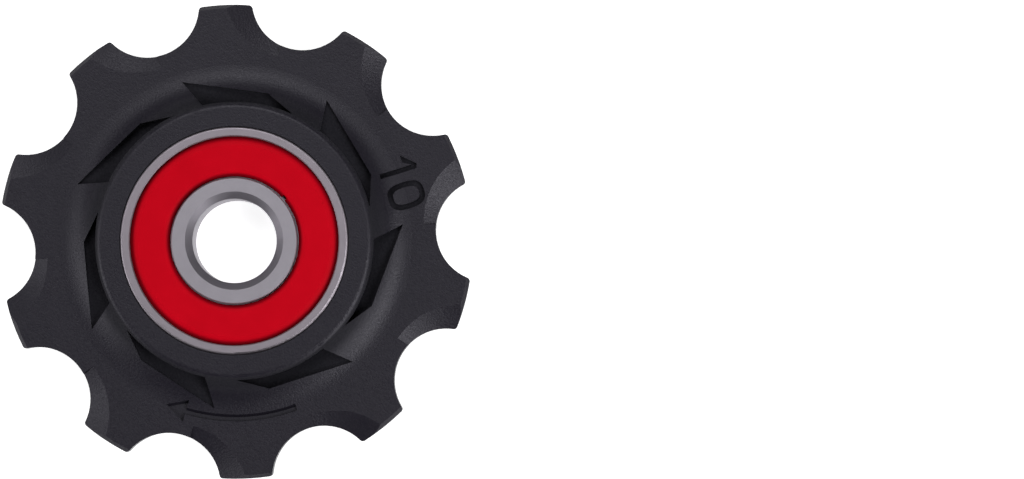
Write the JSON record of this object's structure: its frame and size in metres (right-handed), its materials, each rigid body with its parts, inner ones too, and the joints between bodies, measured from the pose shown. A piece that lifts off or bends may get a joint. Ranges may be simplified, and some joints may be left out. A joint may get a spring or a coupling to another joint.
{
  "type": "derailleur jockey wheel",
  "caption": "Moulded toothed pulley for a rear derailleur cage, with swirl pockets round a wide hub and a sealed ball bearing whose plain bore takes the axle bolt.",
  "frame": {"origin": "centre of the axle bore, at the middle of the bearing's width", "axes": "+Z along the axle towards the marked front face, +Y through the middle of a tooth"},
  "size_m": [0.0386, 0.0394, 0.006],
  "materials": {
    "moulded_plastic": "black moulded nylon with a fine grain",
    "ring_steel": "satin ground",
    "seal_rubber": "red satin rubber",
    "ball_ceramic": "polished",
    "cage_steel": "pressed sheet"
  },
  "bodies": {
    "inner_ring": {"bearing_inner_ring": "ring_steel"},
    "wheel": {"pulley_wheel": "moulded_plastic", "bearing_outer_ring": "ring_steel", "front_seal": "seal_rubber", "rear_seal": "seal_rubber"},
    "cage": {"cage_front_half": "cage_steel", "cage_rear_half": "cage_steel", "cage_rivets": "cage_steel"},
    "ball_1": {"ball_1": "ball_ceramic"},
    "ball_2": {"ball_2": "ball_ceramic"},
    "ball_3": {"ball_3": "ball_ceramic"},
    "ball_4": {"ball_4": "ball_ceramic"},
    "ball_5": {"ball_5": "ball_ceramic"},
    "ball_6": {"ball_6": "ball_ceramic"},
    "ball_7": {"ball_7": "ball_ceramic"}
  },
  "joints": [
    {"name": "wheel_spin", "type": "hinge", "parent": "inner_ring", "child": "wheel", "pos_m": [0, 0, 0], "axis": [0, 0, 1], "continuous": true},
    {"name": "cage_spin", "type": "hinge", "parent": "inner_ring", "child": "cage", "pos_m": [0, 0, 0], "axis": [0, 0, 1], "continuous": true},
    {"name": "ball_1_roll", "type": "hinge", "parent": "cage", "child": "ball_1", "pos_m": [0, 0.0065, 0], "axis": [0, 0, 1], "continuous": true},
    {"name": "ball_2_roll", "type": "hinge", "parent": "cage", "child": "ball_2", "pos_m": [-0.00508, 0.00405, 0], "axis": [0, 0, 1], "continuous": true},
    {"name": "ball_3_roll", "type": "hinge", "parent": "cage", "child": "ball_3", "pos_m": [-0.00634, -0.00145, 0], "axis": [0, 0, 1], "continuous": true},
    {"name": "ball_4_roll", "type": "hinge", "parent": "cage", "child": "ball_4", "pos_m": [-0.00282, -0.00586, 0], "axis": [0, 0, 1], "continuous": true},
    {"name": "ball_5_roll", "type": "hinge", "parent": "cage", "child": "ball_5", "pos_m": [0.00282, -0.00586, 0], "axis": [0, 0, 1], "continuous": true},
    {"name": "ball_6_roll", "type": "hinge", "parent": "cage", "child": "ball_6", "pos_m": [0.00634, -0.00145, 0], "axis": [0, 0, 1], "continuous": true},
    {"name": "ball_7_roll", "type": "hinge", "parent": "cage", "child": "ball_7", "pos_m": [0.00508, 0.00405, 0], "axis": [0, 0, 1], "continuous": true}
  ],
  "couplings": [
    {"joint": "cage_spin", "follows": "wheel_spin", "ratio": 0.63462},
    {"joint": "ball_1_roll", "follows": "wheel_spin", "ratio": 1.7225},
    {"joint": "ball_2_roll", "follows": "wheel_spin", "ratio": 1.7225},
    {"joint": "ball_3_roll", "follows": "wheel_spin", "ratio": 1.7225},
    {"joint": "ball_4_roll", "follows": "wheel_spin", "ratio": 1.7225},
    {"joint": "ball_5_roll", "follows": "wheel_spin", "ratio": 1.7225},
    {"joint": "ball_6_roll", "follows": "wheel_spin", "ratio": 1.7225},
    {"joint": "ball_7_roll", "follows": "wheel_spin", "ratio": 1.7225}
  ]
}
